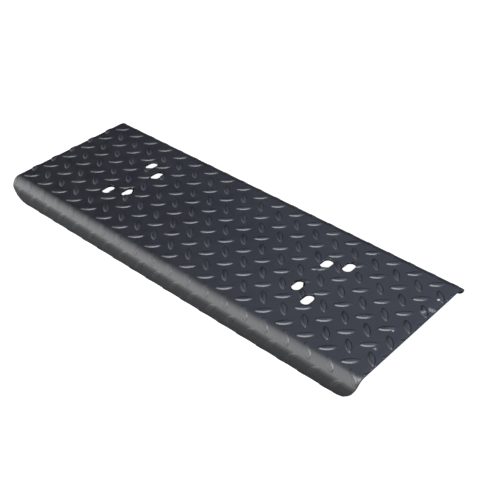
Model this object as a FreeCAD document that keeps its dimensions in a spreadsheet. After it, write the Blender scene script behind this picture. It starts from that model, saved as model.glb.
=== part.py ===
import FreeCAD, Part
import math
import os

import Sketcher
from FreeCAD import Placement, Rotation, Vector

# A step plate formed from one blank of rolled tread plate. Millimetres, +Z up, nose towards -Y.
# The origin is the middle of the plate's length and depth, at the height of the nose's lower edge.
#
# The deck is flat. Both long edges are bent down through a quarter turn: a deep nose in front and a
# shallow lip behind, each with rounded lower corners. Eight slots go through the deck. Almond-shaped
# lugs stand on the outer face in two crossed lattices. They follow the metal round both bends, where
# they are pressed lower.

SHEET = "Sizes"
SIZES = {
    "plate_length": 610.0,
    "wall": 3.0,
    "deck_depth": 190.0,  # flat between the two bend lines
    "bend_radius": 16.5,  # outer face
    "nose_drop": 32.0,
    "lip_drop": 18.5,
    "nose_corner": 28.0,
    "lip_corner": 10.5,
    "slot_width": 13.0,
    "slot_length": 20.0,
    "slot_line": 3.6,  # the slots' common centre line, behind the middle of the deck
    "outer_slot_x": 179.1,
    "outer_slot_gap": 81.5,
    "inner_slot_x": 153.7,
    "inner_slot_gap": 55.5,
    "lug_pitch_x": 31.6,
    "lug_pitch_y": 34.7,
    "lug_first_x": -5.0,  # the lug column next to the middle of the plate
    "lug_first_y": 8.8,  # the front lug row, behind the front bend line
    "lug_length": 24.5,
    "lug_width": 8.8,
    "lug_height": 1.0,
    "pressed_height": 0.5,  # on the bends and flanges, where the brake presses the lugs down
    "lug_flank": 1.6,  # run of the sloping side, seen from above
    "lug_root": 0.6,  # how far a lug's solid reaches into the wall
    "lug_excess": 0.3,  # how far a deck lug's cones stand over its finished top
    "lug_angle": 45.0,
    "cutter_reach": 150.0,  # length of a corner cutter, past the flange
    "cutter_margin": 15.0,  # how far a corner cutter stands outside the corner
}


def make_sheet(doc):
    sheet = doc.addObject("Spreadsheet::Sheet", SHEET)
    for row, (name, value) in enumerate(SIZES.items(), start=1):
        sheet.set(f"A{row}", name)
        sheet.set(f"B{row}", str(value))
        sheet.setAlias(f"B{row}", name)
    doc.recompute()
    return sheet


def origin_plane(body, role):
    return next(plane for plane in body.Origin.OriginFeatures if plane.Role == role)


def new_sketch(body, name, role):
    sketch = body.newObject("Sketcher::SketchObject", name)
    sketch.AttachmentSupport = (origin_plane(body, role), [""])
    sketch.MapMode = "FlatFace"
    return sketch


def constrain(sketch, kind, *where):
    return sketch.addConstraint(Sketcher.Constraint(kind, *where))


def bind(sketch, name, expression, kind, *where):
    """Add a dimension, give it a name and tie it to the sheet."""
    index = constrain(sketch, kind, *where)
    sketch.renameConstraint(index, name)
    sketch.setExpression(f"Constraints.{name}", expression)


def add_line(sketch, start, end):
    return sketch.addGeometry(Part.LineSegment(Vector(*start, 0), Vector(*end, 0)), False)


def add_arc(sketch, centre, radius, first, last):
    circle = Part.Circle(Vector(*centre, 0), Vector(0, 0, 1), radius)
    return sketch.addGeometry(Part.ArcOfCircle(circle, math.radians(first), math.radians(last)), False)


def formed_section(doc, name, proud, thickness):
    """A body with the plate's bent section, its outer face moved out by proud.

    proud and thickness are expressions on the sheet. The YZ sketch runs from the nose's lower edge
    over the deck to the lip's lower edge and back along the inner face.
    """
    body = doc.addObject("PartDesign::Body", name)
    body.Label = name
    sketch = new_sketch(body, f"{name}_section", "YZ_Plane")
    half = SIZES["deck_depth"] / 2
    top = SIZES["nose_drop"]
    low = top - SIZES["lip_drop"]
    outer = SIZES["bend_radius"]
    inner = outer - SIZES["wall"]
    centre_z = top - outer

    nose_outer = add_line(sketch, (-half - outer, 0), (-half - outer, centre_z))
    nose_bend = add_arc(sketch, (-half, centre_z), outer, 90, 180)
    deck_top = add_line(sketch, (-half, top), (half, top))
    lip_bend = add_arc(sketch, (half, centre_z), outer, 0, 90)
    lip_outer = add_line(sketch, (half + outer, centre_z), (half + outer, low))
    lip_edge = add_line(sketch, (half + outer, low), (half + inner, low))
    lip_inner = add_line(sketch, (half + inner, low), (half + inner, centre_z))
    lip_hollow = add_arc(sketch, (half, centre_z), inner, 0, 90)
    deck_under = add_line(sketch, (half, centre_z + inner), (-half, centre_z + inner))
    nose_hollow = add_arc(sketch, (-half, centre_z), inner, 90, 180)
    nose_inner = add_line(sketch, (-half - inner, centre_z), (-half - inner, 0))
    nose_edge = add_line(sketch, (-half - inner, 0), (-half - outer, 0))

    constrain(sketch, "Tangent", nose_outer, 2, nose_bend, 2)
    constrain(sketch, "Tangent", nose_bend, 1, deck_top, 1)
    constrain(sketch, "Tangent", deck_top, 2, lip_bend, 2)
    constrain(sketch, "Tangent", lip_bend, 1, lip_outer, 1)
    constrain(sketch, "Tangent", lip_inner, 2, lip_hollow, 1)
    constrain(sketch, "Tangent", lip_hollow, 2, deck_under, 1)
    constrain(sketch, "Tangent", deck_under, 2, nose_hollow, 1)
    constrain(sketch, "Tangent", nose_hollow, 2, nose_inner, 1)
    constrain(sketch, "Coincident", lip_outer, 2, lip_edge, 1)
    constrain(sketch, "Coincident", lip_edge, 2, lip_inner, 1)
    constrain(sketch, "Coincident", nose_inner, 2, nose_edge, 1)
    constrain(sketch, "Coincident", nose_edge, 2, nose_outer, 1)
    constrain(sketch, "Coincident", nose_bend, 3, nose_hollow, 3)
    constrain(sketch, "Coincident", lip_bend, 3, lip_hollow, 3)
    for upright in (nose_outer, lip_outer, lip_inner, nose_inner):
        constrain(sketch, "Vertical", upright)
    for level in (deck_top, deck_under, lip_edge, nose_edge):
        constrain(sketch, "Horizontal", level)
    constrain(sketch, "PointOnObject", nose_edge, 1, -1)
    constrain(sketch, "Equal", nose_bend, lip_bend)

    sheet = f"<<{SHEET}>>"
    bind(sketch, "outer_radius", f"{sheet}.bend_radius + {proud}", "Radius", nose_bend, outer)
    bind(sketch, "thickness", thickness, "DistanceX", nose_edge, 2, nose_edge, 1, outer - inner)
    bind(sketch, "deck_flat", f"{sheet}.deck_depth", "DistanceX", deck_top, 1, deck_top, 2, 2 * half)
    bind(sketch, "rear_half", f"{sheet}.deck_depth / 2", "DistanceX", -1, 1, deck_top, 2, half)
    bind(sketch, "top_height", f"{sheet}.nose_drop + {proud}", "DistanceY", -1, 1, deck_top, 2, top)
    lip_height = f"{sheet}.nose_drop - {sheet}.lip_drop"
    bind(sketch, "lip_height", lip_height, "DistanceY", -1, 1, lip_edge, 1, low)

    pad = body.newObject("PartDesign::Pad", f"{name}_length")
    pad.Profile = sketch
    pad.SideType = "Symmetric"
    pad.setExpression("Length", f"{sheet}.plate_length")
    sketch.Visibility = False
    return body


def corner_cutter(doc, name, radius, bottom, front):
    """A square bar less its round: what is cut away to round a flange's lower corner.

    It is modelled at the +X end, lying along Y from the deck's middle to past the flange.
    """
    sheet = f"<<{SHEET}>>"
    bar = doc.addObject("Part::Box", f"{name}_bar")
    bar.setExpression("Length", f"{sheet}.{radius} + {sheet}.cutter_margin")
    bar.setExpression("Width", f"{sheet}.cutter_reach")
    bar.setExpression("Height", f"{sheet}.{radius} + {sheet}.cutter_margin")
    bar.setExpression("Placement.Base.x", f"{sheet}.plate_length / 2 - {sheet}.{radius}")
    bar.setExpression("Placement.Base.z", f"{bottom} - {sheet}.cutter_margin")
    rod = doc.addObject("Part::Cylinder", f"{name}_rod")
    rod.setExpression("Radius", f"{sheet}.{radius}")
    rod.setExpression("Height", f"{sheet}.cutter_reach")
    rod.Placement = Placement(Vector(0, 0, 0), Rotation(Vector(1, 0, 0), -90))
    rod.setExpression("Placement.Base.x", f"{sheet}.plate_length / 2 - {sheet}.{radius}")
    rod.setExpression("Placement.Base.z", f"{bottom} + {sheet}.{radius}")
    if front:
        bar.setExpression("Placement.Base.y", f"-{sheet}.cutter_reach")
        rod.setExpression("Placement.Base.y", f"-{sheet}.cutter_reach")
    cutter = doc.addObject("Part::Cut", name)
    cutter.Base = bar
    cutter.Tool = rod
    return cutter


def mirrored_in_x(doc, source):
    mirror = doc.addObject("Part::Mirroring", f"{source.Name}_mirrored")
    mirror.Source = source
    mirror.Normal = Vector(1, 0, 0)
    return mirror


def add_slot(sketch, name, along, across):
    """One slot outline: two half circles and two straight sides, long across the plate."""
    x = SIZES[f"{along}_slot_x"]
    y = SIZES["slot_line"] + across * SIZES[f"{along}_slot_gap"] / 2
    radius = SIZES["slot_width"] / 2
    straight = (SIZES["slot_length"] - SIZES["slot_width"]) / 2
    rear = add_arc(sketch, (x, y + straight), radius, 0, 180)
    front = add_arc(sketch, (x, y - straight), radius, 180, 360)
    left = add_line(sketch, (x - radius, y + straight), (x - radius, y - straight))
    right = add_line(sketch, (x + radius, y - straight), (x + radius, y + straight))
    constrain(sketch, "Tangent", rear, 2, left, 1)
    constrain(sketch, "Tangent", left, 2, front, 1)
    constrain(sketch, "Tangent", front, 2, right, 1)
    constrain(sketch, "Tangent", right, 2, rear, 1)
    constrain(sketch, "Vertical", left)

    sheet = f"<<{SHEET}>>"
    straight_run = f"({sheet}.slot_length - {sheet}.slot_width)"
    side = "+" if across > 0 else "-"
    rear_centre = (
        f"{sheet}.slot_line {side} {sheet}.{along}_slot_gap / 2 + {straight_run} / 2"
    )
    bind(sketch, f"{name}_radius", f"{sheet}.slot_width / 2", "Radius", rear, radius)
    bind(sketch, f"{name}_run", straight_run, "DistanceY", front, 3, rear, 3, 2 * straight)
    bind(sketch, f"{name}_x", f"{sheet}.{along}_slot_x", "DistanceX", -1, 1, rear, 3, x)
    distance = abs(y + straight)
    if y + straight > 0:
        bind(sketch, f"{name}_y", rear_centre, "DistanceY", -1, 1, rear, 3, distance)
    else:
        bind(sketch, f"{name}_y", f"-({rear_centre})", "DistanceY", rear, 3, -1, 1, distance)


def slot_punches(doc):
    """The punches of both slot groups, as solids that pass right through the deck."""
    body = doc.addObject("PartDesign::Body", "slot_punches")
    sketch = new_sketch(body, "slot_outlines", "XY_Plane")
    for along in ("outer", "inner"):
        add_slot(sketch, f"{along}_rear", along, 1)
        add_slot(sketch, f"{along}_front", along, -1)
    group = doc.addObject("Part::Extrusion", "slot_group")
    group.Base = sketch
    group.DirMode = "Custom"
    group.Dir = Vector(0, 0, 1)
    group.Solid = True
    group.setExpression("LengthFwd", f"2 * <<{SHEET}>>.nose_drop")
    return [group, mirrored_in_x(doc, group)]


def lug_master(doc, name, on_deck):
    """One lug lying along X, upright in Z, with the wall's outer face at z = 0.

    It is the common part of two round bars that stand side by side: their overlap is an almond. Bars
    that narrow upwards give the sloping flanks of the deck's lugs. A pressed lug has straight bars,
    which run from the bend's centre to as far outside, and stand halfway up the flank.
    """
    sheet = f"<<{SHEET}>>"
    half_length = f"({sheet}.lug_length / 2)"
    half_width = f"({sheet}.lug_width / 2)"
    radius = f"(({half_length} ^ 2 + {half_width} ^ 2) / {sheet}.lug_width)"
    slope = f"({sheet}.lug_flank / {sheet}.lug_height)"
    cone_top = f"({sheet}.lug_height + {sheet}.lug_excess)"
    bars = []
    for bar_name, side in ((f"{name}_bar_front", "-"), (f"{name}_bar_rear", "+")):
        if on_deck:
            bar = doc.addObject("Part::Cone", bar_name)
            bar.setExpression("Radius1", f"{radius} + {slope} * {sheet}.lug_root")
            bar.setExpression("Radius2", f"{radius} - {slope} * {cone_top}")
            bar.setExpression("Height", f"{cone_top} + {sheet}.lug_root")
            bar.setExpression("Placement.Base.z", f"-{sheet}.lug_root")
        else:
            bar = doc.addObject("Part::Cylinder", bar_name)
            bar.setExpression("Radius", f"{radius} - {sheet}.lug_flank / 2")
            bar.setExpression("Height", f"2 * {sheet}.bend_radius")
            bar.setExpression("Placement.Base.z", f"-{sheet}.bend_radius")
        bar.setExpression("Placement.Base.y", f"{side}({radius} - {half_width})")
        bars.append(bar)
    master = doc.addObject("Part::Common", name)
    master.Base, master.Tool = bars
    return master


def read(sheet, name):
    return float(sheet.get(name))


def surface_frame(sheet, run):
    """Where the outer face is, and which way it faces, at a developed distance behind the front bend
    line. run is measured along the metal: negative runs go round the nose, and runs past the deck's
    depth go round the lip. Returns (y, z, tilt about X in degrees).
    """
    radius = read(sheet, "bend_radius")
    top = read(sheet, "nose_drop")
    depth = read(sheet, "deck_depth")
    quarter = radius * math.pi / 2
    if 0 <= run <= depth:
        return run - depth / 2, top, 0.0
    past = -run if run < 0 else run - depth
    side = -1 if run < 0 else 1
    turn = min(past, quarter) / radius
    straight = max(past - quarter, 0)
    y = side * (depth / 2 + radius * math.sin(turn))
    z = top - radius + radius * math.cos(turn) - straight
    return y, z, -side * math.degrees(turn)


def lug_field(doc, sheet, master, on_deck):
    """Copies of a master on the two crossed lattices: those on the deck, or those past a bend line."""
    pitch_x = read(sheet, "lug_pitch_x")
    pitch_y = read(sheet, "lug_pitch_y")
    half_plate = read(sheet, "plate_length") / 2
    depth = read(sheet, "deck_depth")
    angle = read(sheet, "lug_angle")
    reach = read(sheet, "lug_length") / 2 * math.cos(math.radians(angle))
    quarter_less_drop = read(sheet, "bend_radius") * (math.pi / 2 - 1)
    blank_front = -quarter_less_drop - read(sheet, "nose_drop")
    blank_rear = depth + quarter_less_drop + read(sheet, "lip_drop")
    first_x = read(sheet, "lug_first_x")
    first_y = read(sheet, "lug_first_y")
    columns_each_way = math.ceil(half_plate / pitch_x) + 1
    columns = range(-columns_each_way, columns_each_way + 1)
    first_row = math.floor((blank_front - first_y) / pitch_y)
    last_row = math.ceil((blank_rear - first_y) / pitch_y)
    lugs = []
    for shift, turn in ((0.0, angle), (0.5, -angle)):
        for row in range(first_row, last_row + 1):
            run = first_y + (row + shift) * pitch_y
            on_blank = blank_front < run + reach and run - reach < blank_rear
            if not on_blank or (0 < run < depth) != on_deck:
                continue
            y, z, tilt = surface_frame(sheet, run)
            seat = Rotation(Vector(1, 0, 0), tilt) * Rotation(Vector(0, 0, 1), turn)
            for column in columns:
                x = first_x + (column + shift) * pitch_x
                if abs(x) > half_plate + reach:
                    continue
                lug = master.Shape.copy()
                lug.Placement = Placement(Vector(x, y, z), seat) * master.Shape.Placement
                lugs.append(lug)
    field = doc.addObject("Part::Feature", f"{master.Name}_field")
    field.Shape = Part.makeCompound(lugs)
    return field


def rolled_lugs(doc, sheet, name, height, on_deck):
    """The lugs of one height, trimmed to a band that follows the plate from root to finished top."""
    size = f"<<{SHEET}>>"
    band = formed_section(
        doc, f"{name}_band", f"{size}.{height}", f"{size}.{height} + {size}.lug_root"
    )
    master = lug_master(doc, name, on_deck)
    doc.recompute()
    lugs = doc.addObject("Part::Common", f"{name}s")
    lugs.Base = lug_field(doc, sheet, master, on_deck)
    lugs.Tool = band
    return lugs


def build():
    doc = FreeCAD.newDocument("tread_plate")
    sheet = make_sheet(doc)
    size = f"<<{SHEET}>>"

    blank = doc.addObject("Part::MultiFuse", "lugged_sheet")
    blank.Shapes = [
        formed_section(doc, "formed_sheet", "0", f"{size}.wall"),
        rolled_lugs(doc, sheet, "deck_lug", "lug_height", True),
        rolled_lugs(doc, sheet, "pressed_lug", "pressed_height", False),
    ]
    blank.Refine = True

    nose = corner_cutter(doc, "nose_corner_cut", "nose_corner", "0", True)
    lip_bottom = f"{size}.nose_drop - {size}.lip_drop"
    lip = corner_cutter(doc, "lip_corner_cut", "lip_corner", lip_bottom, False)
    tools = doc.addObject("Part::Compound", "punch_and_trim_tools")
    tools.Links = [
        nose,
        mirrored_in_x(doc, nose),
        lip,
        mirrored_in_x(doc, lip),
        *slot_punches(doc),
    ]
    plate = doc.addObject("Part::Cut", "tread_plate")
    plate.Label = "tread_plate"
    plate.Base = blank
    plate.Tool = tools
    doc.recompute()
    return doc, [plate]


def check(doc, parts):
    for item in doc.Objects:
        if "Invalid" in item.State or "Error" in item.State:
            raise RuntimeError(f"{item.Name} did not compute: {item.State}")
    for part in parts:
        shape = part.Shape
        if shape.isNull() or not shape.isValid() or len(shape.Solids) != 1:
            raise RuntimeError(f"{part.Label} is not one valid solid")
        box = shape.optimalBoundingBox()
        print(
            f"{part.Label}: {box.XLength:.1f} x {box.YLength:.1f} x {box.ZLength:.1f} mm,"
            f" {shape.Volume / 1000:.1f} cm3, {len(shape.Faces)} faces"
        )


def main():
    doc, parts = build()
    check(doc, parts)
    os.makedirs("parts", exist_ok=True)
    for part in parts:
        part.Shape.exportStep(f"parts/{part.Label}.step")


main()
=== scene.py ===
"""Looks of a step plate formed from one blank of rolled tread plate, painted black.

The plate is worked out flat, as the blank is before it goes into the press brake. Every point has a place
along the length (u), a place across the blank measured along the metal (s), and a height over the outer
face (h). One function then folds the blank round its two bends. Lengths are millimetres until a mesh is
written, and metres from there on.
"""

import logging
import math
from dataclasses import dataclass, field
from enum import Enum
from typing import Any, Sequence

import bmesh
import bpy
import numpy as np
from mathutils import Matrix, Vector


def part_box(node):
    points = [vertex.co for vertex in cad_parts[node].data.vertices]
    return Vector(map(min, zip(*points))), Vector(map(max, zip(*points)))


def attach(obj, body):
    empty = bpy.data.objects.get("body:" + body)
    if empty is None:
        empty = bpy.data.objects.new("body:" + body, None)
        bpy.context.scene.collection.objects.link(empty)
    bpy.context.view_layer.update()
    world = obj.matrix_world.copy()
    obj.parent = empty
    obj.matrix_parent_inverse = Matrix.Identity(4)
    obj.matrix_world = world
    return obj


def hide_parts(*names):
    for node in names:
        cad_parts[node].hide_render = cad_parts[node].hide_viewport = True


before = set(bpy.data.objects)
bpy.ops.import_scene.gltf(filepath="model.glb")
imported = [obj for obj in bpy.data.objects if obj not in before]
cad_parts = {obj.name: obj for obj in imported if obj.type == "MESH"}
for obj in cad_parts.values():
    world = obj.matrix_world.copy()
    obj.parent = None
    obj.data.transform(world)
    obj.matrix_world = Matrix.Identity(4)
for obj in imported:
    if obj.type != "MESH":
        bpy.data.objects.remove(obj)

LOG = logging.getLogger("tread_plate")
METRE = 1000.0
MERGE_DISTANCE = 2e-6  # metres
SAME_PLACE = 0.01  # millimetres

Array = np.ndarray
Colour = tuple[float, float, float, float]


class Hand(Enum):
    """Which way a lug lies, seen from above, as the sign of its turn from the plate's length."""

    RISING = 1
    FALLING = -1


# ------------------------------------------------------------------ surfaces


@dataclass
class Surface:
    """Points on the blank, the quads between them, and how far each is worn.

    plan holds (u, s), height holds h, quads holds four indices a face, and wear holds a number from 0 on
    plain paint to 1 on a lug's crest or a cut edge.
    """

    plan: Array
    height: Array
    quads: Array
    wear: Array

    @staticmethod
    def joined(surfaces: Sequence["Surface"]) -> "Surface":
        """Put surfaces together, each one's indices moved past the points before it."""
        starts = np.cumsum([0] + [len(surface.plan) for surface in surfaces])
        return Surface(
            np.concatenate([surface.plan for surface in surfaces]),
            np.concatenate([surface.height for surface in surfaces]),
            np.concatenate([surface.quads + start for surface, start in zip(surfaces, starts)]),
            np.concatenate([surface.wear for surface in surfaces]),
        )


def grid_quads(index: Array) -> Array:
    """Quads of a grid of indices, facing up where rows go across and columns go along.

    Args:
        index: Indices, shape (rows, columns).

    Returns:
        One quad a cell.
    """
    return np.stack([index[:-1, :-1], index[:-1, 1:], index[1:, 1:], index[1:, :-1]], axis=-1)


def ring_quads(index: Array) -> Array:
    """Quads between closed rings of indices, each ring joined to the next.

    Args:
        index: Indices, shape (..., rings, points).

    Returns:
        The quads, facing outwards where a ring runs counter-clockwise round the one that follows it.
    """
    ahead = np.roll(index, -1, axis=-1)
    near, far = index[..., :-1, :], index[..., 1:, :]
    quads = np.stack([near, far, ahead[..., 1:, :], ahead[..., :-1, :]], axis=-1)
    return quads.reshape(-1, 4)


def stations(stops: Sequence[float], step: float) -> Array:
    """Numbers that include every stop, evenly spaced between stops and never farther apart than step."""
    spans = [
        np.linspace(low, high, max(1, math.ceil((high - low) / step)) + 1)[:-1]
        for low, high in zip(stops[:-1], stops[1:])
    ]
    return np.append(np.concatenate(spans), stops[-1])


# ------------------------------------------------------------------ sizes of the plate


@dataclass(frozen=True)
class FormedSection:
    """The plate's bent section: a nose bend, a flat deck and a lip bend."""

    deck_depth: float = 190.0
    bend_radius: float = 16.5
    wall: float = 3.0
    nose_drop: float = 32.0
    lip_drop: float = 18.5

    @property
    def bend_height(self) -> float:
        """Height of the bends' centres, where both flanges become straight."""
        return self.nose_drop - self.bend_radius

    def fold(self, plan: Array, height: Array) -> Array:
        """Fold points of the blank to their place on the plate.

        On the deck a point stays at its s. Past a bend line the first quarter turn of its distance is an
        angle round the bend's centre, at the bend's radius plus h, and the rest goes down the flange.

        Args:
            plan: Points (u, s), s counted from the front bend line.
            height: Heights over the outer face, negative inside the wall.

        Returns:
            Points (x, y, z).
        """
        u, s = plan[..., 0], plan[..., 1]
        past = np.maximum(np.maximum(-s, s - self.deck_depth), 0.0)
        turn = np.minimum(past / self.bend_radius, math.pi / 2)
        straight = past - turn * self.bend_radius
        radial = self.bend_radius + height
        y = np.clip(s, 0.0, self.deck_depth) - self.deck_depth / 2
        y = y + np.where(s < 0, -1.0, 1.0) * radial * np.sin(turn)
        return np.stack([u, y, self.bend_height + radial * np.cos(turn) - straight], axis=-1)

    def past_bend_line(self, z: Array) -> Array:
        """Distance along the outer face from a bend line down to height z: an arc, then a straight."""
        lean = np.clip((z - self.bend_height) / self.bend_radius, 0.0, 1.0)
        return self.bend_radius * np.arccos(lean) + np.maximum(self.bend_height - z, 0.0)


@dataclass(frozen=True)
class Slot:
    """An oblong hole, long across the plate. Its centre is a place on the blank."""

    u: float
    s: float
    width: float = 13.0
    length: float = 20.0

    def outline(self, angle: Array, grow: float) -> Array:
        """The slot's outline: two half circles whose centres stand a straight run apart.

        Args:
            angle: Directions round the nearer half circle's centre.
            grow: How far outside the slot's wall the outline runs.

        Returns:
            Points (u, s).
        """
        radius = self.width / 2 + grow
        shift = np.sign(np.round(np.sin(angle), 6)) * (self.length - self.width) / 2
        return np.stack(
            [self.u + radius * np.cos(angle), self.s + shift + radius * np.sin(angle)], axis=-1
        )

    def half_width(self, s: Array, grow: float) -> Array:
        """Half the slot's width at each s: full on the straight run, a circle's chord on its ends."""
        over = np.maximum(np.abs(s - self.s) - (self.length - self.width) / 2, 0.0)
        return np.sqrt(np.maximum((self.width / 2 + grow) ** 2 - over**2, 0.0))


@dataclass(frozen=True)
class SlotPlan:
    """Eight slots in two mirrored groups of four: an outer pair set wide, an inner pair set close."""

    line: float = 98.6
    outer_u: float = 179.1
    outer_gap: float = 81.5
    inner_u: float = 153.7
    inner_gap: float = 55.5
    window_depth: float = 30.0

    @property
    def window_width(self) -> float:
        """Width of the field kept clear for one slot: the two columns' fields share an edge."""
        return self.outer_u - self.inner_u

    def slots(self) -> list[Slot]:
        """All eight slots."""
        pairs = ((self.outer_u, self.outer_gap), (self.inner_u, self.inner_gap))
        return [
            Slot(end * u, self.line + side * gap / 2)
            for u, gap in pairs
            for end in (-1, 1)
            for side in (-1, 1)
        ]


# ------------------------------------------------------------------ the bent sheet


@dataclass(frozen=True)
class FormedSheet:
    """The plain sheet under the lugs, closed all round: two faces, its rim and the slots' walls."""

    length: float
    section: FormedSection = field(default_factory=FormedSection)
    plan: SlotPlan = field(default_factory=SlotPlan)
    nose_corner: float = 28.0
    lip_corner: float = 10.5
    edge_round: float = 0.45
    edge_wear: float = 0.4
    corner_zone: float = 45.0
    cell: float = 7.0
    slot_cell: float = 3.2
    bend_steps: int = 9
    nose_rows: int = 34
    lip_rows: int = 14
    ring_blend: tuple[float, ...] = (0.0, 0.45, 0.8, 1.0)

    def half_length_at(self, z: Array, nose: Array | bool, inset: float) -> Array:
        """Half the plate's length at height z: less than full where a flange's corner is rounded.

        Args:
            z: Heights of the outer face.
            nose: Whether the nose is meant, and not the lip.
            inset: How far inside the edge to stay.

        Returns:
            The half lengths.
        """
        radius = np.where(nose, self.nose_corner, self.lip_corner)
        low = np.where(nose, 0.0, self.section.nose_drop - self.section.lip_drop)
        rise = np.maximum(radius - (z - low), 0.0)
        return self.length / 2 - radius + np.sqrt(np.maximum((radius - inset) ** 2 - rise**2, 0.0))

    def _flange_rows(self, nose: bool, inset: float) -> Array:
        """Rows of one flange from its lower edge to the bend line, as (distance past the line, half length).

        The rounded corner's rows lie at even angles of its quarter circle. Above it they lie at even
        angles of the bend.
        """
        section = self.section
        radius, count = (
            (self.nose_corner, self.nose_rows) if nose else (self.lip_corner, self.lip_rows)
        )
        low = 0.0 if nose else section.nose_drop - section.lip_drop
        corner = np.linspace(0.0, math.pi / 2, count)
        corner_z = low + radius - (radius - inset) * np.cos(corner)
        corner_half = self.length / 2 - radius + (radius - inset) * np.sin(corner)
        first = math.acos((low + radius - section.bend_height) / section.bend_radius)
        bend = np.linspace(first, 0.0, self.bend_steps)[1:]
        bend_half = np.full_like(bend, self.length / 2 - inset)
        past = np.concatenate([section.past_bend_line(corner_z), bend * section.bend_radius])
        return np.column_stack([past, np.concatenate([corner_half, bend_half])])

    def _deck_rows(self) -> Array:
        """Places of the deck's rows, with one on every edge of every slot's field."""
        half = self.plan.window_depth / 2
        edges = {slot.s + side * half for slot in self.plan.slots() for side in (-1, 1)}
        return stations([0.0, *sorted(edges), self.section.deck_depth], self.slot_cell)[1:-1]

    def _columns(self) -> Array:
        """Places of the columns, with one on every edge of every slot's field."""
        half = self.plan.window_width / 2
        edges = sorted({round(slot.u + side * half, 6) for slot in self.plan.slots() for side in (-1, 1)})
        middle = len(edges) // 2
        inner = self.length / 2 - self.corner_zone
        left = stations([-self.length / 2, -inner, edges[0]], self.cell)
        left_slots = stations(edges[:middle], self.slot_cell)
        bridge = stations([edges[middle - 1], edges[middle]], self.cell)
        right_slots = stations(edges[middle:], self.slot_cell)
        right = stations([edges[-1], inner, self.length / 2], self.cell)
        return np.concatenate([left[:-1], left_slots[:-1], bridge[:-1], right_slots[:-1], right])

    def points(self, inset: float) -> Array:
        """The grid of the blank, drawn in from its edges by inset.

        Columns run straight over the middle. Over the last stretch at each end they close up evenly, so
        that the last one follows the rounded corners.

        Args:
            inset: How far inside the edges the border stays.

        Returns:
            Points (u, s), shape (rows, columns, 2).
        """
        nose = self._flange_rows(True, inset) * (-1, 1)
        lip = (self._flange_rows(False, inset) + (self.section.deck_depth, 0))[::-1]
        deck = self._deck_rows()
        deck = np.column_stack([deck, np.full_like(deck, self.length / 2 - inset)])
        rows = np.concatenate([nose, deck, lip])
        columns = self._columns()[None, :]
        inner = self.length / 2 - self.corner_zone
        share = np.maximum(np.abs(columns) - inner, 0.0) / self.corner_zone
        u = np.minimum(np.abs(columns), inner) + share * (rows[:, 1:] - inner)
        return np.stack([np.sign(columns) * u, np.broadcast_to(rows[:, :1], u.shape)], axis=-1)

    def _window(self, slot: Slot, points: Array) -> tuple[slice, slice]:
        """Rows and columns of the grid that bound one slot's field."""
        down = points[:, points.shape[1] // 2, 1]
        across = np.abs(down - slot.s) < self.plan.window_depth / 2 + SAME_PLACE
        along = np.abs(self._columns() - slot.u) < self.plan.window_width / 2 + SAME_PLACE
        rows, columns = np.nonzero(across)[0], np.nonzero(along)[0]
        return slice(rows[0], rows[-1] + 1), slice(columns[0], columns[-1] + 1)

    @staticmethod
    def _border(grid: Array) -> Array:
        """The border of a grid as one loop, counter-clockwise from its first corner."""
        return np.concatenate([grid[0, :-1], grid[:-1, -1], grid[-1, :0:-1], grid[:0:-1, 0]])

    def _slot_angles(self, shape: tuple[int, int]) -> Array:
        """Directions on a slot's outline that answer to its field's border, a quarter turn a side."""
        down, along = shape[0] - 1, shape[1] - 1
        sides = [side + np.arange(n) / n for side, n in enumerate((along, down, along, down))]
        return np.concatenate(sides) * math.pi / 2 - math.radians(135.0)

    def _rim_profile(self) -> Array:
        """The cut edge's profile as (inset, height, wear), from the outer face round to the inner.

        It is a quarter round, the bare thickness, and a second quarter round.
        """
        turn = np.linspace(0.0, math.pi / 2, 4)
        inset = self.edge_round * (1 - np.sin(turn))
        drop = self.edge_round * (1 - np.cos(turn))
        wear = np.array([self.edge_wear, 1.0, 1.0, 0.7])
        upper = np.column_stack([inset, -drop, wear])
        lower = np.column_stack([inset, drop - self.section.wall, wear])[::-1]
        return np.concatenate([upper, lower])

    def surface(self) -> Surface:
        """The whole closed sheet, still flat."""
        outer = self.points(self.edge_round)
        rows, columns = outer.shape[:2]
        index = np.arange(rows * columns).reshape(rows, columns)
        cells = grid_quads(index)
        open_cells = np.ones(cells.shape[:2], dtype=bool)
        wear = np.zeros((rows, columns))
        wear[[0, -1], :] = wear[:, [0, -1]] = self.edge_wear
        profile = self._rim_profile()
        faces: list[Surface] = []
        walls = [
            self._carried(np.stack([self._border(self.points(inset)) for inset in profile[:, 0]]), profile)
        ]
        for slot in self.plan.slots():
            down, along = self._window(slot, outer)
            open_cells[down.start : down.stop - 1, along.start : along.stop - 1] = False
            field_border = self._border(outer[down, along])[::-1]
            angle = self._slot_angles(outer[down, along].shape[:2])[::-1]
            hole = slot.outline(angle, self.edge_round)
            blend = np.array(self.ring_blend)[:, None, None]
            rings = field_border * (1 - blend) + hole * blend
            ring_index = np.arange(rings[..., 0].size).reshape(rings.shape[:2])
            ring_wear = np.zeros(ring_index.shape)
            ring_wear[-1] = self.edge_wear
            flat = np.zeros(ring_index.size)
            faces.append(Surface(rings.reshape(-1, 2), flat, ring_quads(ring_index), ring_wear.ravel()))
            walls.append(
                self._carried(np.stack([slot.outline(angle, inset) for inset in profile[:, 0]]), profile)
            )
        level = np.zeros(rows * columns)
        faces.append(Surface(outer.reshape(-1, 2), level, cells[open_cells], wear.ravel()))
        top = Surface.joined(faces)
        under = Surface(top.plan, top.height - self.section.wall, top.quads[:, ::-1], top.wear)
        return Surface.joined([top, under, *walls])

    @staticmethod
    def _carried(loops: Array, profile: Array) -> Surface:
        """A profile carried along a loop: one ring a profile point, at its inset, height and wear."""
        index = np.arange(loops[..., 0].size).reshape(loops.shape[:2])
        height, wear = (np.repeat(profile[:, column], loops.shape[1]) for column in (1, 2))
        return Surface(loops.reshape(-1, 2), height, ring_quads(index), wear)


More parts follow.
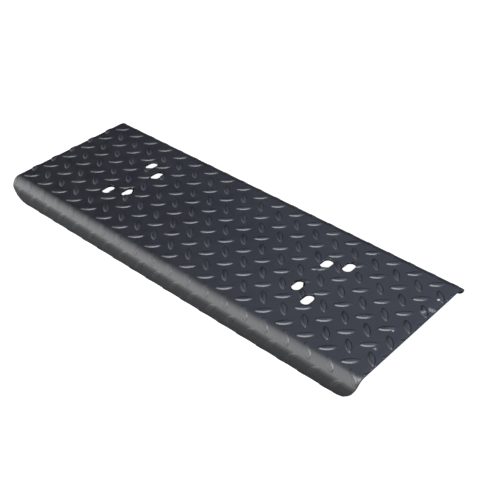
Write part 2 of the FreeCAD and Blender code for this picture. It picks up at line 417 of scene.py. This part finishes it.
# ------------------------------------------------------------------ the rolled lugs


@dataclass(frozen=True)
class Lug:
    """One almond-shaped lug: the overlap of two circles, with sloping flanks and a flat top."""

    length: float = 26.0
    width: float = 8.8
    flank: float = 1.6
    turn: float = math.radians(45.0)
    points: int = 14
    levels: tuple[float, ...] = (0.0, 0.0, 0.33, 0.67, 1.0)

    def depth_inside(self, own: Array) -> Array:
        """How far inside the foot a point lies: the circles' radius less the farther centre's distance.

        Args:
            own: Points in the lug's own frame, along and across it.

        Returns:
            The depths, negative outside.
        """
        radius = ((self.length / 2) ** 2 + (self.width / 2) ** 2) / self.width
        offset = np.abs(own[..., 1]) + radius - self.width / 2
        return radius - np.hypot(own[..., 0], offset)

    def rise(self, own: Array) -> Array:
        """Share of the full height at a point: an S-shaped step over the flank, then level."""
        step = np.clip(self.depth_inside(own) / self.flank, 0.0, 1.0)
        return step**2 * (3 - 2 * step)

    def rings(self) -> Array:
        """Rings round the lug, from its foot to its top, in its own frame.

        Every ring's points lie on the same rays from the middle. Along a ray with direction (c, d), the
        circle of radius r about (0, -e) is met where t = sqrt((d e)^2 + r^2 - e^2) - d e.

        Returns:
            Points, shape (rings, points, 2), clockwise. The first ring stands for the buried root.
        """
        angle = -(np.arange(self.points) + 0.5) / self.points * 2 * math.pi
        ray = np.column_stack([self.length * np.cos(angle), self.width * np.sin(angle)])
        ray /= np.linalg.norm(ray, axis=1, keepdims=True)
        radius = ((self.length / 2) ** 2 + (self.width / 2) ** 2) / self.width
        offset = radius - self.width / 2
        reach = radius - np.array(self.levels)[:, None] * self.flank
        slant = np.abs(ray[:, 1])[None, :] * offset
        distance = np.sqrt(slant**2 + reach**2 - offset**2) - slant
        return distance[..., None] * ray

    def quads(self) -> Array:
        """Faces of one lug: bands between the rings, a top and a bottom, each closed in strips across."""
        index = np.arange(len(self.levels) * self.points).reshape(-1, self.points)
        half = np.arange(self.points // 2 - 1)
        lid = np.stack([half, half + 1, self.points - 2 - half, self.points - 1 - half], axis=-1)
        return np.concatenate([ring_quads(index), lid[:, ::-1] + index[-1, 0], lid])


@dataclass(frozen=True)
class RolledLugs:
    """The lugs on two crossed lattices, cut where the blank was sheared and punched.

    The brake's tools press the lugs down on the bends and flanges. A slot that comes no farther into a lug
    than graze leaves it whole, and a sliver smaller than least_area is dropped.
    """

    sheet: FormedSheet
    lug: Lug = field(default_factory=Lug)
    pitch_u: float = 31.6
    pitch_s: float = 34.7
    first_u: float = -5.0
    first_s: float = 8.8
    height: float = 1.0
    pressed_height: float = 0.4
    root: float = 0.35
    tuck: float = 0.04
    graze: float = 0.1
    least_area: float = 0.5
    crest_wear: float = 0.8

    def _centres(self) -> tuple[Array, Array]:
        """Centres (u, s) of every lug that may touch the blank, and the hand of each as its sign."""
        section = self.sheet.section
        front = -float(section.past_bend_line(np.array(0.0)))
        lip_low = section.nose_drop - section.lip_drop
        rear = section.deck_depth + float(section.past_bend_line(np.array(lip_low)))
        reach = self.lug.length / 2 * math.cos(self.lug.turn)
        each_way = math.ceil(self.sheet.length / 2 / self.pitch_u) + 1
        first_row = math.floor((front - self.first_s) / self.pitch_s)
        last_row = math.ceil((rear - self.first_s) / self.pitch_s)
        found, hands = [], []
        for hand, shift in ((Hand.RISING, 0.0), (Hand.FALLING, 0.5)):
            columns = self.first_u + (np.arange(-each_way, each_way + 1) + shift) * self.pitch_u
            rows = self.first_s + (np.arange(first_row, last_row + 1) + shift) * self.pitch_s
            centres = np.stack(np.meshgrid(columns, rows), axis=-1).reshape(-1, 2)
            near_end = np.abs(centres[:, 0]) < self.sheet.length / 2 + reach
            near_edge = (centres[:, 1] > front - reach) & (centres[:, 1] < rear + reach)
            found.append(centres[near_end & near_edge])
            hands.append(np.full(len(found[-1]), float(hand.value)))
        return np.concatenate(found), np.concatenate(hands)

    def _turned(self, points: Array, hand: Array, sign: float) -> Array:
        """Turn points by each lug's angle, or back by it where sign is -1."""
        cos, sin = math.cos(self.lug.turn), math.sin(self.lug.turn) * hand[:, None, None] * sign
        u, s = points[..., 0], points[..., 1]
        return np.stack([u * cos - s * sin, u * sin + s * cos], axis=-1)

    def _within_blank(self, points: Array) -> Array:
        """Move points past an edge of the blank onto it, which stands a sheared lug's wall up there."""
        section = self.sheet.section
        lip_low = section.nose_drop - section.lip_drop
        front = -section.past_bend_line(np.array(self.tuck))
        rear = section.deck_depth + section.past_bend_line(np.array(lip_low + self.tuck))
        s = np.clip(points[..., 1], front, rear)
        flat = np.stack([np.zeros_like(s), s], axis=-1)
        z = section.fold(flat, np.zeros_like(s))[..., 2]
        limit = self.sheet.half_length_at(z, s < section.deck_depth / 2, self.tuck)
        return np.stack([np.clip(points[..., 0], -limit, limit), s], axis=-1)

    def _punched(self, points: Array, keep: Array) -> tuple[Array, Array]:
        """Cut the lugs that a slot goes through.

        Such a lug becomes two: one keeps what lies to the slot's left and one what lies to its right. Each
        one's other points move along the plate onto the slot's wall, which stands its cut wall up there.

        Args:
            points: Lug points, shape (lugs, rings, points, 2).
            keep: For each, which of the lattice's lugs it came from.

        Returns:
            The same two, longer by the lugs that were split.
        """
        for slot in self.sheet.plan.slots():
            half = slot.half_width(points[..., 1], self.tuck)
            off = points[..., 0] - slot.u
            hit = np.any(np.abs(off) < half - self.graze, axis=(1, 2))
            parts, sources = [points[~hit]], [keep[~hit]]
            for side in (-1.0, 1.0):
                part = points[hit].copy()
                part[..., 0] = slot.u + side * np.maximum(side * off[hit], half[hit])
                parts.append(part)
                sources.append(keep[hit])
            points, keep = np.concatenate(parts), np.concatenate(sources)
        return points, keep

    def surface(self) -> Surface:
        """Every lug as a closed shell with its root in the sheet, still flat."""
        centres, hand = self._centres()
        rings = np.broadcast_to(self.lug.rings(), (len(centres), *self.lug.rings().shape))
        points = centres[:, None, None, :] + self._turned(rings, hand, 1.0)
        points, source = self._punched(points, np.arange(len(centres)))
        points = self._within_blank(points)
        foot = points[:, 1]
        ahead = np.roll(foot, -1, axis=1)
        area = np.abs(np.sum(foot[..., 0] * ahead[..., 1] - foot[..., 1] * ahead[..., 0], axis=1)) / 2
        whole = area > self.least_area
        points, source = points[whole], source[whole]

        own = self._turned(points - centres[source][:, None, None, :], hand[source], -1.0)
        share = self.lug.rise(own)
        depth = self.sheet.section.deck_depth
        on_deck = (centres[source, 1] > 0) & (centres[source, 1] < depth)
        full = np.where(on_deck, self.height, self.pressed_height)[:, None, None]
        height = share * full
        height[:, 0] = -self.root
        each = points[0, ..., 0].size
        quads = self.lug.quads()[None] + (np.arange(len(points)) * each)[:, None, None]
        wear = share * self.crest_wear
        LOG.info("%d lugs of %d faces", len(points), len(self.lug.quads()))
        return Surface(points.reshape(-1, 2), height.ravel(), quads.reshape(-1, 4), wear.ravel())


# ------------------------------------------------------------------ shader maths


class Value:
    """One output socket of a shader, with arithmetic that adds Math nodes."""

    def __init__(self, shader: "Shader", socket: bpy.types.NodeSocket) -> None:
        """Wrap a socket."""
        self.shader = shader
        self.socket = socket

    def _math(self, operation: str, first: Any, second: Any) -> "Value":
        """Add a Math node."""
        return self.shader.node("ShaderNodeMath", {"operation": operation}, {0: first, 1: second})

    def __add__(self, other: Any) -> "Value":
        """Sum."""
        return self._math("ADD", self, other)

    def __sub__(self, other: Any) -> "Value":
        """Difference."""
        return self._math("SUBTRACT", self, other)

    def __rsub__(self, other: Any) -> "Value":
        """Difference, the other way round."""
        return self._math("SUBTRACT", other, self)

    def __mul__(self, other: Any) -> "Value":
        """Product."""
        return self._math("MULTIPLY", self, other)

    __radd__ = __add__
    __rmul__ = __mul__

    def larger(self, other: Any) -> "Value":
        """The larger of two values."""
        return self._math("MAXIMUM", self, other)

    def ramp(self, low: float, high: float) -> "Value":
        """Go smoothly from 0 to 1 as the value goes from low to high."""
        settings = {"interpolation_type": "SMOOTHSTEP"}
        return self.shader.node("ShaderNodeMapRange", settings, {0: self, 1: low, 2: high})


class Shader:
    """A node tree, built by calls."""

    def __init__(self, owner: bpy.types.Material | bpy.types.World) -> None:
        """Clear the owner's tree and keep it."""
        owner.use_nodes = True
        self.tree = owner.node_tree
        self.tree.nodes.clear()

    def node(
        self,
        kind: str,
        settings: dict[str, Any] | None = None,
        inputs: dict[Any, Any] | None = None,
        output: int | str = 0,
    ) -> Value:
        """Add a node.

        Args:
            kind: The node's type.
            settings: Its properties, set before its sockets.
            inputs: Values or links, by socket name or number.
            output: The output wanted.

        Returns:
            That output.
        """
        made = self.tree.nodes.new(kind)
        for key, value in (settings or {}).items():
            setattr(made, key, value)
        for key, value in (inputs or {}).items():
            if isinstance(value, Value):
                self.tree.links.new(value.socket, made.inputs[key])
            else:
                made.inputs[key].default_value = value
        return Value(self, made.outputs[output])

    def noise(self, place: Value, scale: float, detail: float = 3.0) -> Value:
        """Noise from 0 to 1, with so many features a metre."""
        inputs = {"Vector": place, "Scale": scale, "Detail": detail}
        return self.node("ShaderNodeTexNoise", None, inputs)

    def mix(self, factor: Any, first: Any, second: Any) -> Value:
        """Blend two colours."""
        return self.node("ShaderNodeMix", {"data_type": "RGBA"}, {0: factor, 6: first, 7: second}, 2)

    def distance(self, place: Value, point: tuple[float, float, float]) -> Value:
        """Distance of a place from a fixed point, in metres."""
        return self.node("ShaderNodeVectorMath", {"operation": "DISTANCE"}, {0: place, 1: point}, "Value")

    def end(self, kind: str, surface: Value) -> None:
        """Join a surface to an output node."""
        output = self.tree.nodes.new(kind)
        self.tree.links.new(surface.socket, output.inputs["Surface"])


# ------------------------------------------------------------------ finishes


@dataclass(frozen=True)
class Scuff:
    """A spot where something has taken the paint down to pale scratches, in metres on the deck."""

    x: float
    y: float
    radius: float
    strength: float


@dataclass(frozen=True)
class BlackPaint:
    """Satin black paint over mill scale, rubbed on the lugs' crests and the cut edges."""

    fresh: Colour = (0.0034, 0.0038, 0.0046, 1.0)
    weathered: Colour = (0.0056, 0.0060, 0.0068, 1.0)
    rubbed: Colour = (0.020, 0.022, 0.026, 1.0)
    bare: Colour = (0.62, 0.63, 0.65, 1.0)
    gloss_roughness: float = 0.3
    rub_share: float = 0.55
    ragged_edge: float = 2.4
    relief_strength: float = 0.08
    relief_depth: float = 0.0005
    deck_height: float = 0.032
    scuffs: tuple[Scuff, ...] = (
        Scuff(0.2965, 0.0641, 0.0020, 0.7),
        Scuff(0.3005, 0.0420, 0.0052, 0.3),
        Scuff(0.2955, 0.0330, 0.0045, 0.25),
        Scuff(0.2868, -0.0162, 0.0018, 0.5),
        Scuff(0.2887, -0.0536, 0.0028, 0.4),
    )

    def material(self, name: str) -> bpy.types.Material:
        """Build the paint.

        Args:
            name: The material's name.

        Returns:
            The material.
        """
        material = bpy.data.materials.new(name)
        shader = Shader(material)
        place = shader.node("ShaderNodeTexCoord", None, None, "Object")
        wear = shader.node("ShaderNodeAttribute", {"attribute_name": "wear"}, None, "Fac")
        cloud = shader.noise(place, 9.0, 4.0)
        patch = shader.noise(place, 55.0, 4.0)
        grain = shader.noise(place, 480.0, 3.0)
        speckle = shader.noise(place, 1300.0, 2.0)

        colour = shader.mix((cloud * 0.6 + patch * 0.4).ramp(0.36, 0.66), self.fresh, self.weathered)
        rub = wear.ramp(0.55, 1.0) * patch.ramp(0.35, 0.65) * self.rub_share
        colour = shader.mix(rub, colour, self.rubbed)
        chips = wear.ramp(0.9, 1.0) * grain.ramp(0.62, 0.68)
        for scuff in self.scuffs:
            away = shader.distance(place, (scuff.x, scuff.y, self.deck_height))
            ragged = away + (grain - 0.5) * (self.ragged_edge * scuff.radius)
            near = (1 - ragged.ramp(scuff.radius * 0.1, scuff.radius)) * scuff.strength
            chips = chips.larger(near * speckle.ramp(0.46, 0.58))
        colour = shader.mix(chips, colour, self.bare)

        rough = (patch - 0.5) * 0.14 + (grain - 0.5) * 0.12 + self.gloss_roughness
        rough = rough + chips * 0.25 - rub * 0.08
        relief = grain * 0.6 + speckle * 0.25 + patch * 0.35
        bump = {"Strength": self.relief_strength, "Distance": self.relief_depth, "Height": relief}
        normal = shader.node("ShaderNodeBump", None, bump)
        inputs = {"Base Color": colour, "Roughness": rough, "IOR": 1.5, "Normal": normal}
        shader.end("ShaderNodeOutputMaterial", shader.node("ShaderNodeBsdfPrincipled", None, inputs))
        return material


@dataclass(frozen=True)
class LightTable:
    """A plain floor that the camera sees white.

    What it sheds on the plate is painted light from a floor that is no lamp: bright far in front of the
    nose, fading to a painted shade for the plate's shadow at the nose's foot, and dim from there to the
    back.
    """

    tone: float = 0.12
    # near is the painted shade in the floor's glow at the nose's foot; far is the painted light it sheds
    # from farther out.
    near: Colour = (0.12, 0.12, 0.12, 1.0)
    far: Colour = (1.7, 1.7, 1.65, 1.0)
    white: Colour = (1.0, 1.0, 1.0, 1.0)
    foot_shade_from: float = 0.1095
    foot_shade_to: float = 0.1900

    def material(self, name: str) -> bpy.types.Material:
        """Build the floor's material."""
        material = bpy.data.materials.new(name)
        shader = Shader(material)
        place = shader.node("ShaderNodeTexCoord", None, None, "Object")
        ahead = 0 - shader.node("ShaderNodeSeparateXYZ", None, {0: place}, "Y")
        # Reflections and bounces see a painted glow: painted shade at the nose's foot, brightening farther
        # out. The camera sees plain white.
        painted_floor_light = shader.mix(ahead.ramp(self.foot_shade_from, self.foot_shade_to), self.near, self.far)
        seen = shader.node("ShaderNodeLightPath", None, None, "Is Camera Ray")
        inputs = {
            "Base Color": (self.tone, self.tone, self.tone, 1.0),
            "Roughness": 0.9,
            "Specular IOR Level": 0.0,
            "Emission Color": shader.mix(seen, painted_floor_light, self.white),
            "Emission Strength": 1.0,
        }
        shader.end("ShaderNodeOutputMaterial", shader.node("ShaderNodeBsdfPrincipled", None, inputs))
        return material


# ------------------------------------------------------------------ the whole plate


@dataclass(frozen=True)
class TreadPlate:
    """The plate: its bent sheet and its lugs as one mesh in one paint."""

    length: float
    paint: BlackPaint = field(default_factory=BlackPaint)
    crease: float = math.radians(50.0)

    def build(self, name: str) -> bpy.types.Object:
        """Fold the surfaces, write the mesh and paint it.

        Args:
            name: The object's name.

        Returns:
            The object, at the origin.
        """
        sheet = FormedSheet(self.length)
        surface = Surface.joined([sheet.surface(), RolledLugs(sheet).surface()])
        used, quads = np.unique(surface.quads, return_inverse=True)
        points = sheet.section.fold(surface.plan[used], surface.height[used]) / METRE
        piece = new_object(name, points, quads.reshape(-1, 4))
        layer = piece.data.attributes.new("wear", "FLOAT", "POINT")
        layer.data.foreach_set("value", surface.wear[used].astype(np.float32))
        self._close(piece.data)
        piece.data.set_sharp_from_angle(angle=self.crease)
        piece.data.materials.append(self.paint.material("satin_black_paint"))
        return piece

    @staticmethod
    def _close(mesh: bpy.types.Mesh) -> None:
        """Merge the points that neighbouring surfaces share, so that the mesh is closed."""
        work = bmesh.new()
        work.from_mesh(mesh)
        bmesh.ops.remove_doubles(work, verts=work.verts, dist=MERGE_DISTANCE)
        bmesh.ops.dissolve_degenerate(work, edges=work.edges, dist=MERGE_DISTANCE)
        open_edges = sum(edge.is_boundary for edge in work.edges)
        triangles = sum(len(face.verts) - 2 for face in work.faces)
        work.to_mesh(mesh)
        work.free()
        LOG.info("plate closed: %d triangles, %d open edges", triangles, open_edges)


def new_object(name: str, points: Array, quads: Array) -> bpy.types.Object:
    """Write a smooth-shaded mesh of quads and link its object.

    Args:
        name: The object's name.
        points: Points in metres.
        quads: Four indices a face.

    Returns:
        The object.
    """
    mesh = bpy.data.meshes.new(name)
    mesh.vertices.add(len(points))
    mesh.vertices.foreach_set("co", points.astype(np.float32).ravel())
    mesh.loops.add(quads.size)
    mesh.loops.foreach_set("vertex_index", quads.astype(np.int32).ravel())
    mesh.polygons.add(len(quads))
    mesh.polygons.foreach_set("loop_start", np.arange(0, quads.size, 4, dtype=np.int32))
    mesh.polygons.foreach_set("use_smooth", np.ones(len(quads), dtype=bool))
    mesh.update(calc_edges=True)
    piece = bpy.data.objects.new(name, mesh)
    bpy.context.scene.collection.objects.link(piece)
    return piece


# ------------------------------------------------------------------ studio


@dataclass(frozen=True)
class Softbox:
    """A square soft light, by its direction from the plate, its distance and its side in metres."""

    name: str
    direction: tuple[float, float, float]
    distance: float
    side: float
    power: float
    tint: tuple[float, float, float]

    def hang(self) -> None:
        """Hang the light, facing the plate."""
        data = bpy.data.lights.new(self.name, "AREA")
        data.size = self.side
        data.energy = self.power
        data.color = self.tint
        light = bpy.data.objects.new(self.name, data)
        bpy.context.scene.collection.objects.link(light)
        towards = Vector(self.direction).normalized()
        light.location = towards * self.distance
        light.rotation_euler = (-towards).to_track_quat("-Z", "Y").to_euler()


@dataclass(frozen=True)
class Studio:
    """Camera, softbox, canopy and floor, in metres.

    Each fade is a pair: where it starts and where it ends, as a share of a direction along its own axis.
    """

    eye: tuple[float, float, float] = (0.6771, -0.6805, 0.7295)
    target: tuple[float, float, float] = (0.0636, -0.011, 0.032)
    roll: float = math.radians(-0.774)
    lens: float = 64.84
    floor_half: float = 30.0
    pale: Colour = (1.0, 1.0, 1.0, 1.0)
    low_sky: Colour = (0.035, 0.04, 0.05, 1.0)
    high_sky: Colour = (1.0, 1.12, 1.5, 1.0)
    sky_axis: tuple[float, float, float] = (0.35, 0.5, 0.79)
    upward_fade: tuple[float, float] = (0.3, 0.55)
    slanting_fade: tuple[float, float] = (0.38, 0.85)
    panel: Colour = (4.9, 4.9, 5.0, 1.0)
    forward_fade: tuple[float, float] = (-0.4, 0.7)
    leftward_fade: tuple[float, float] = (-0.2, 0.3)
    overhead: Softbox = Softbox("overhead", (0.26, -0.2, 0.95), 2.2, 1.7, 85.0, (0.97, 0.98, 1.0))

    def place_camera(self) -> None:
        """Put the camera at the eye, aimed at the target and turned a little about its own axis."""
        data = bpy.data.cameras.new("camera")
        data.lens = self.lens
        data.clip_start = 0.01
        camera = bpy.data.objects.new("camera", data)
        bpy.context.scene.collection.objects.link(camera)
        aim = (Vector(self.target) - Vector(self.eye)).to_track_quat("-Z", "Y").to_matrix().to_4x4()
        camera.matrix_world = Matrix.Translation(self.eye) @ aim @ Matrix.Rotation(self.roll, 4, "Z")
        bpy.context.scene.camera = camera

    def light(self) -> None:
        """Hang the softbox and stretch a canopy.

        The canopy is dim near the floor, brightens along one slanting axis, and carries a panel on the
        front left that fades out towards the back and the right.
        """
        self.overhead.hang()
        world = bpy.data.worlds.new("canopy")
        bpy.context.scene.world = world
        shader = Shader(world)
        away = shader.node("ShaderNodeTexCoord", None, None, "Generated")
        up = shader.node("ShaderNodeSeparateXYZ", None, {0: away}, "Z")
        front = 0 - shader.node("ShaderNodeSeparateXYZ", None, {0: away}, "Y")
        left = 0 - shader.node("ShaderNodeSeparateXYZ", None, {0: away}, "X")
        slant = shader.node(
            "ShaderNodeVectorMath", {"operation": "DOT_PRODUCT"}, {0: away, 1: self.sky_axis}, "Value"
        )
        height = up.ramp(*self.upward_fade) * slant.ramp(*self.slanting_fade)
        sky = shader.mix(height, self.low_sky, self.high_sky)
        in_panel = front.ramp(*self.forward_fade) * left.ramp(*self.leftward_fade)
        sky = shader.mix(in_panel, sky, self.panel)
        seen = shader.node("ShaderNodeLightPath", None, None, "Is Camera Ray")
        colour = shader.mix(seen, sky, self.pale)
        shader.end("ShaderNodeOutputWorld", shader.node("ShaderNodeBackground", None, {"Color": colour}))
        bpy.context.scene.view_settings.view_transform = "Standard"

    def lay_floor(self) -> None:
        """Lay the floor under the plate."""
        half = self.floor_half
        corners = np.array([[-half, -half, 0.0], [half, -half, 0.0], [half, half, 0.0], [-half, half, 0.0]])
        floor = new_object("floor", corners, np.array([[0, 1, 2, 3]]))
        floor.data.materials.append(LightTable().material("glowing_floor_with_painted_shade"))


def main() -> None:
    """Build the plate and set up the studio."""
    logging.basicConfig(level=logging.INFO, format="%(name)s: %(message)s")
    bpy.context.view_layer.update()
    low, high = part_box("tread_plate")
    piece = TreadPlate(round((high.x - low.x) * METRE, 2)).build("plate")
    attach(piece, "root")
    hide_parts("tread_plate")
    studio = Studio()
    studio.place_camera()
    studio.light()
    studio.lay_floor()


if __name__ == "__main__":
    main()
